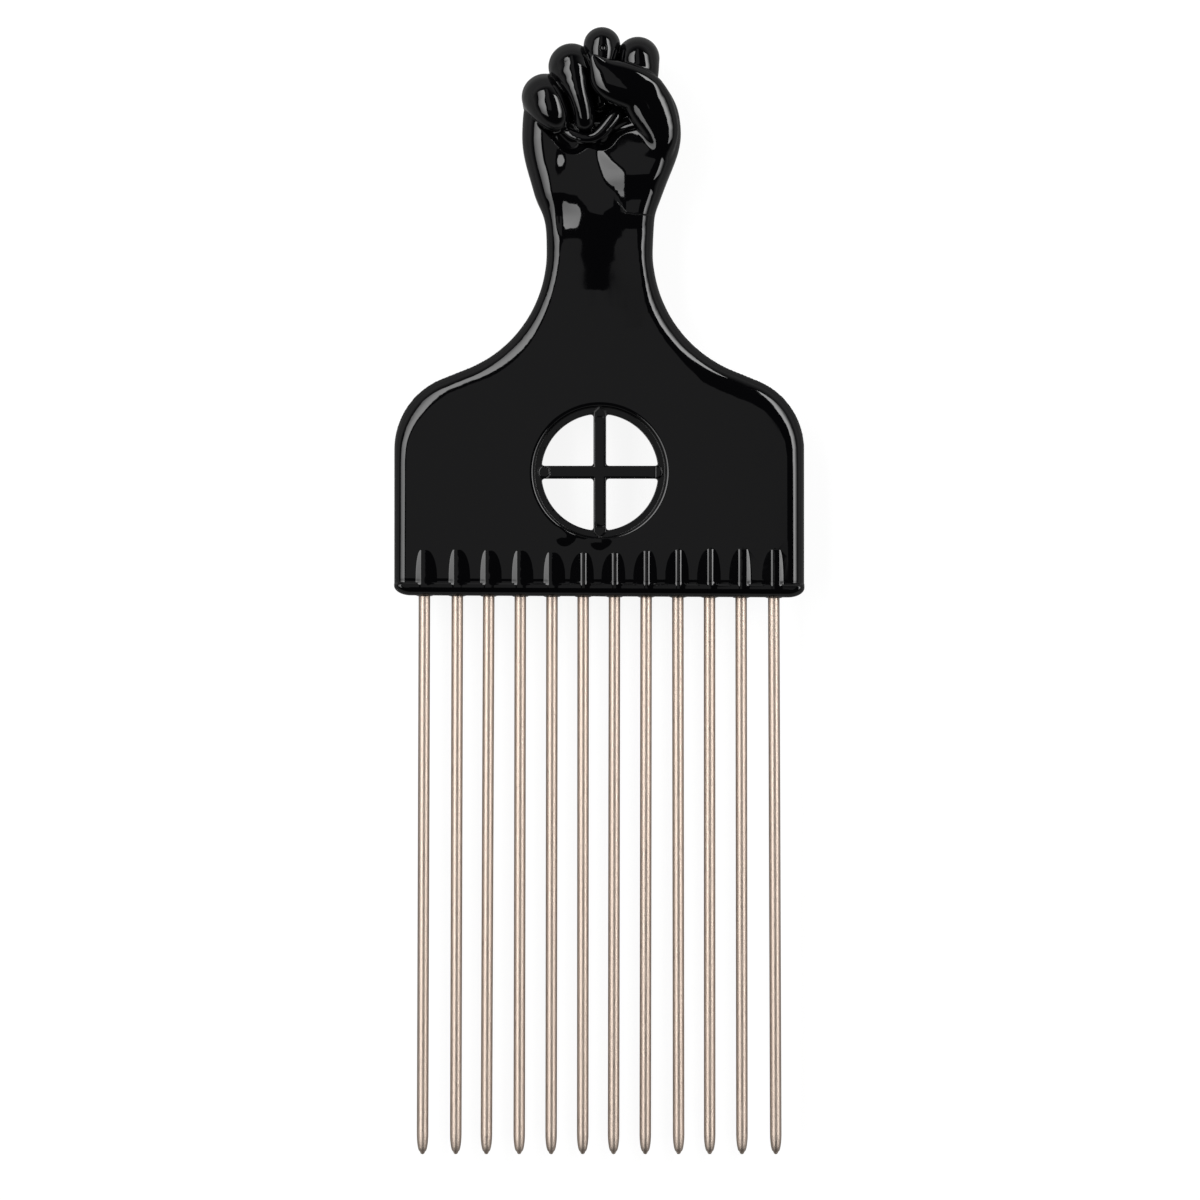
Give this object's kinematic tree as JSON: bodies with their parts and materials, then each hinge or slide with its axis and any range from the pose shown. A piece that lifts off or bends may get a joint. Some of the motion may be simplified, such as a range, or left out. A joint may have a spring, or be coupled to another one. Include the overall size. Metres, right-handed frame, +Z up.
{
  "type": "afro pick",
  "caption": "Long-toothed hair pick: polished wires moulded into a flat black plastic plate with a round barred window, a narrow neck and a raised-fist grip.",
  "frame": {"origin": "bottom centre of the bounding box, with the pick lying on its back", "axes": "+Z up through the palm side of the fist, +Y from the wire tips towards the knuckles, +X across the wires"},
  "size_m": [0.071, 0.195, 0.016],
  "materials": {
    "handle_plastic": "moulded black plastic with a high gloss",
    "wire_metal": "polished nickel-plated steel wire"
  },
  "bodies": {
    "root": {"handle": "handle_plastic", "tine_01": "wire_metal", "tine_02": "wire_metal", "tine_03": "wire_metal", "tine_04": "wire_metal", "tine_05": "wire_metal", "tine_06": "wire_metal", "tine_07": "wire_metal", "tine_08": "wire_metal", "tine_09": "wire_metal", "tine_10": "wire_metal", "tine_11": "wire_metal", "tine_12": "wire_metal"}
  },
  "joints": []
}
